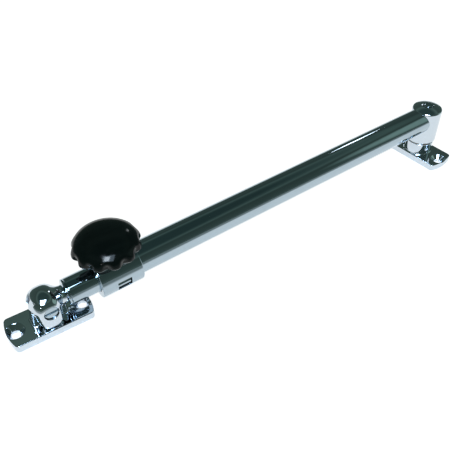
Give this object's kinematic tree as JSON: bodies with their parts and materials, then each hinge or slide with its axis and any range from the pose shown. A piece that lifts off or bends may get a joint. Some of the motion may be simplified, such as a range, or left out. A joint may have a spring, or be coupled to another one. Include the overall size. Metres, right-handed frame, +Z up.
{
  "type": "telescopic window stay",
  "caption": "Chromed telescopic casement stay: a forked base at one end, a swivel base at the other, and a lobed clamp knob that locks the sliding tube.",
  "frame": {"origin": "centre of the left base's underside, straight below the fork's pivot pin", "axes": "+X along the stay from the fork to the swivel barrel, +Z up from the left base's mounting face, +Y away from the pivot screw's head"},
  "size_m": [0.2869, 0.0404, 0.0405],
  "materials": {
    "chrome_plate": "polished",
    "plain_steel": "satin",
    "brass_bush": "machined",
    "white_nylon": "moulded",
    "black_knob": "gloss"
  },
  "bodies": {
    "left_mount": {"left_base": "chrome_plate", "knuckle_bush": "brass_bush"},
    "fork": {"fork_knuckle": "chrome_plate", "pivot_screw": "chrome_plate", "pivot_nut": "chrome_plate", "fork_washer_front": "plain_steel", "fork_washer_back": "plain_steel", "swivel_collar": "plain_steel"},
    "inner_rod": {"swivel_plug": "chrome_plate", "plug_pin": "plain_steel", "inner_tube": "chrome_plate", "tail_guide": "white_nylon"},
    "outer_rod": {"outer_tube": "chrome_plate", "mouth_bush": "white_nylon", "clamp_sleeve": "chrome_plate", "sleeve_key": "chrome_plate", "barrel": "chrome_plate", "barrel_pin": "plain_steel", "barrel_bush_lower": "brass_bush", "barrel_bush_upper": "brass_bush"},
    "clamp_shoe": {"brake_shoe": "brass_bush"},
    "clamp_knob": {"knob_body": "black_knob", "knob_insert": "brass_bush", "clamp_stud": "plain_steel"},
    "right_mount": {"right_base": "chrome_plate", "swivel_pin": "chrome_plate", "swivel_nut": "plain_steel", "thrust_washer": "white_nylon"}
  },
  "joints": [
    {"name": "fork_tilt", "type": "hinge", "parent": "left_mount", "child": "fork", "pos_m": [0, 0, 0.0136], "axis": [0, -1, 0], "range_deg": [-5, 45]},
    {"name": "tube_roll", "type": "hinge", "parent": "fork", "child": "inner_rod", "pos_m": [0, 0, 0.0136], "axis": [0.9984, 0, 0.0562], "range_deg": [-90, 90]},
    {"name": "telescope", "type": "slide", "parent": "inner_rod", "child": "outer_rod", "axis": [0.9984, 0, 0.0562], "range_m": [0, 0.15]},
    {"name": "clamp_travel", "type": "slide", "parent": "outer_rod", "child": "clamp_shoe", "axis": [-0.0562, 0, 0.9984], "range_m": [0, 0.002]},
    {"name": "knob_turn", "type": "hinge", "parent": "clamp_shoe", "child": "clamp_knob", "pos_m": [0.03287, 0, 0.02747], "axis": [-0.0562, 0, 0.9984], "range_deg": [0, 720]},
    {"name": "base_swivel", "type": "hinge", "parent": "outer_rod", "child": "right_mount", "pos_m": [0.2549, 0, 0.02794], "axis": [-0.0562, 0, 0.9984], "continuous": true}
  ],
  "couplings": [
    {"joint": "clamp_travel", "follows": "knob_turn", "m_per_rad": 0.000159}
  ]
}
